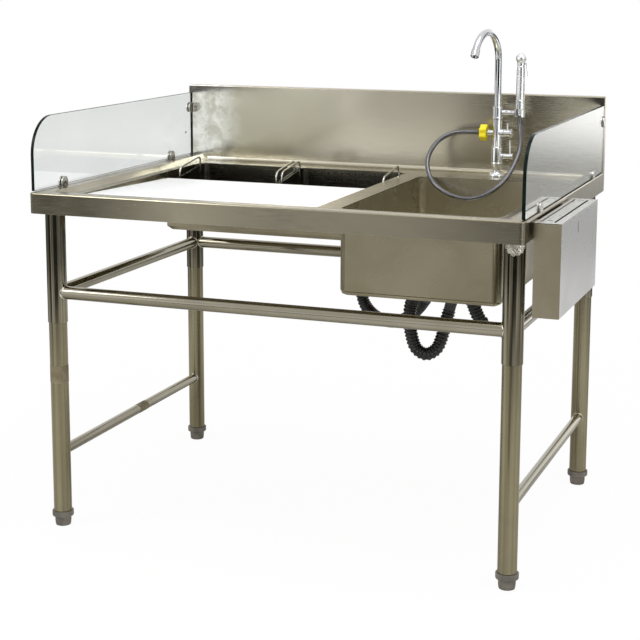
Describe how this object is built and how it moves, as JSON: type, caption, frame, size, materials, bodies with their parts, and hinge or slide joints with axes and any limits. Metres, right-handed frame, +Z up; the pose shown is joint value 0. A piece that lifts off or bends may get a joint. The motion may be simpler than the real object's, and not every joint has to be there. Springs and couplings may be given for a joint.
{
  "type": "preparation sink table",
  "caption": "Steel preparation table with a sink bowl, drop-in cutting board, perforated baskets, glass side screens, knife box and mixer tap with hand spray, on tubular legs.",
  "frame": {"origin": "on the floor under the middle of the table's bounding box", "axes": "+X to the right along the front, +Y from the open front to the backsplash, +Z up"},
  "size_m": [1.269, 0.9, 1.2156],
  "materials": {
    "brushed_steel": "fine brushed stainless sheet",
    "tube_steel": "polished stainless tube",
    "chrome": "polished chrome plate",
    "white_board": "fine matt white polyethylene",
    "grey_plastic": "dark grey moulded plastic",
    "black_plastic": "black plastic with a soft sheen",
    "yellow_plastic": "bright yellow moulded plastic",
    "clear_glass": "clear toughened glass with green edges"
  },
  "bodies": {
    "table": {"backsplash": "brushed_steel", "basket_trough": "brushed_steel", "board_shelf": "brushed_steel", "deck_channel_left": "brushed_steel", "deck_channel_right": "brushed_steel", "drain_hose_bowl": "black_plastic", "drain_hose_cuff": "black_plastic", "drain_hose_trough": "black_plastic", "foot_insert_front_left": "grey_plastic", "foot_insert_front_right": "grey_plastic", "foot_insert_rear_left": "grey_plastic", "foot_insert_rear_right": "grey_plastic", "glass_clamp_left_front": "chrome", "glass_clamp_left_rear": "chrome", "glass_clamp_left_splash": "chrome", "glass_clamp_right_front": "chrome", "glass_clamp_right_rear": "chrome", "glass_clamp_right_splash": "chrome", "glass_left": "clear_glass", "glass_right": "clear_glass", "knife_box_shell": "brushed_steel", "knife_box_top": "brushed_steel", "leg_socket_front_left": "tube_steel", "leg_socket_front_right": "tube_steel", "leg_socket_rear_left": "tube_steel", "leg_socket_rear_right": "tube_steel", "lower_frame_left": "tube_steel", "lower_frame_right": "tube_steel", "shower_hose": "chrome", "sink_bowl": "brushed_steel", "spray_holder": "chrome", "tap_base_flange": "chrome", "tap_body": "chrome", "tap_shank_nut": "chrome", "trough_outlet": "brushed_steel", "upper_rail_front": "tube_steel", "upper_rail_left": "tube_steel", "upper_rail_rear": "tube_steel", "upper_rail_right": "tube_steel", "waste_body": "black_plastic", "waste_flange": "brushed_steel", "worktop": "brushed_steel"},
    "cutting_board": {"cutting_board": "white_board"},
    "basket_left": {"basket_left": "brushed_steel"},
    "basket_right": {"basket_right": "brushed_steel"},
    "strainer": {"waste_strainer": "brushed_steel"},
    "spout": {"spout": "chrome", "aerator": "chrome"},
    "main_handle": {"main_tap_handle": "chrome"},
    "spray_handle": {"spray_tap_handle": "chrome"},
    "hose_nut": {"hose_nut": "yellow_plastic"},
    "sprayer": {"spray_body": "chrome", "spray_nut": "chrome"},
    "spray_lever": {"spray_lever": "chrome"},
    "foot_front_left": {"foot_front_left": "grey_plastic"},
    "foot_front_right": {"foot_front_right": "grey_plastic"},
    "foot_rear_left": {"foot_rear_left": "grey_plastic"},
    "foot_rear_right": {"foot_rear_right": "grey_plastic"}
  },
  "joints": [
    {"name": "board_lift", "type": "slide", "parent": "table", "child": "cutting_board", "axis": [0, 0, 1], "range_m": [0, 0.1]},
    {"name": "left_basket_lift", "type": "slide", "parent": "table", "child": "basket_left", "axis": [0, 0, 1], "range_m": [0, 0.17]},
    {"name": "right_basket_lift", "type": "slide", "parent": "table", "child": "basket_right", "axis": [0, 0, 1], "range_m": [0, 0.17]},
    {"name": "strainer_lift", "type": "slide", "parent": "table", "child": "strainer", "axis": [0, 0, 1], "range_m": [0, 0.04]},
    {"name": "spout_swivel", "type": "hinge", "parent": "table", "child": "spout", "pos_m": [0.3, 0.3565, 0.9783], "axis": [0, 0, 1], "range_deg": [-120, 120]},
    {"name": "main_handle_turn", "type": "hinge", "parent": "table", "child": "main_handle", "pos_m": [0.3183, 0.3565, 0.881], "axis": [1, 0, 0], "range_deg": [-90, 90]},
    {"name": "spray_handle_turn", "type": "hinge", "parent": "table", "child": "spray_handle", "pos_m": [0.3183, 0.3565, 0.942], "axis": [1, 0, 0], "range_deg": [-90, 90]},
    {"name": "hose_nut_turn", "type": "hinge", "parent": "table", "child": "hose_nut", "pos_m": [0.26445, 0.3565, 0.942], "axis": [1, 0, 0], "continuous": true},
    {"name": "sprayer_lift", "type": "slide", "parent": "table", "child": "sprayer", "axis": [0, 0, 1], "range_m": [0, 0.12]},
    {"name": "spray_lever_press", "type": "hinge", "parent": "sprayer", "child": "spray_lever", "pos_m": [0.37355, 0.3565, 1.126], "axis": [0, 1, 0], "range_deg": [0, 10], "stiffness_Nm_per_rad": 0.05, "springref_deg": -11.46},
    {"name": "foot_front_left_turn", "type": "hinge", "parent": "table", "child": "foot_front_left", "pos_m": [-0.5975, -0.388, 0], "axis": [0, 0, 1], "continuous": true},
    {"name": "foot_front_right_turn", "type": "hinge", "parent": "table", "child": "foot_front_right", "pos_m": [0.5345, -0.388, 0], "axis": [0, 0, 1], "continuous": true},
    {"name": "foot_rear_left_turn", "type": "hinge", "parent": "table", "child": "foot_rear_left", "pos_m": [-0.5975, 0.388, 0], "axis": [0, 0, 1], "continuous": true},
    {"name": "foot_rear_right_turn", "type": "hinge", "parent": "table", "child": "foot_rear_right", "pos_m": [0.5345, 0.388, 0], "axis": [0, 0, 1], "continuous": true}
  ]
}
